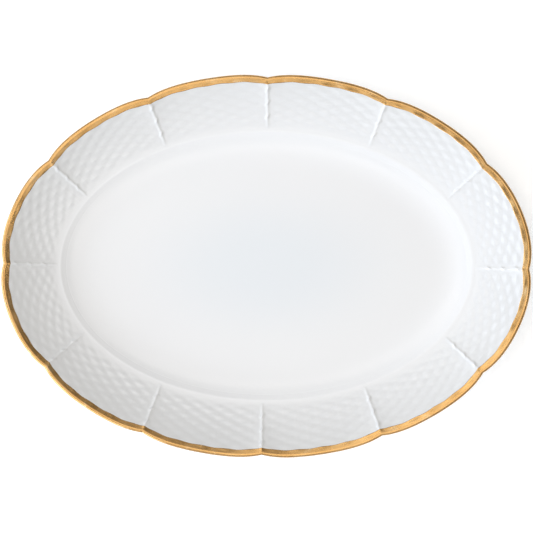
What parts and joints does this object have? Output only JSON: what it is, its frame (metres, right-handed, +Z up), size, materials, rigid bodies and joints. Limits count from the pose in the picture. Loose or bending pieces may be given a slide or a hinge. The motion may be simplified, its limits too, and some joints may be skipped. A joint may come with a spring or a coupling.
{
  "type": "serving platter",
  "caption": "Oval porcelain serving platter with a scalloped basketweave rim, raised ribs, a shallow well, a foot ring and a gilded lip.",
  "frame": {"origin": "middle of the foot ring's contact face, which is the bottom centre of the whole platter", "axes": "+X along the platter's length, +Y across its width, +Z up through the well"},
  "size_m": [0.381, 0.2752, 0.0304],
  "materials": {
    "glazed_porcelain": "clear gloss glaze over white porcelain",
    "foot_porcelain": "white porcelain, glazed on its sides and bare and fine-ground on its contact face",
    "gilding": "fired bright gold, glossy, lightly burnished and worn on the edge"
  },
  "bodies": {
    "root": {"porcelain_body": "glazed_porcelain", "foot_ring": "foot_porcelain", "gold_rim_band": "gilding"}
  },
  "joints": []
}
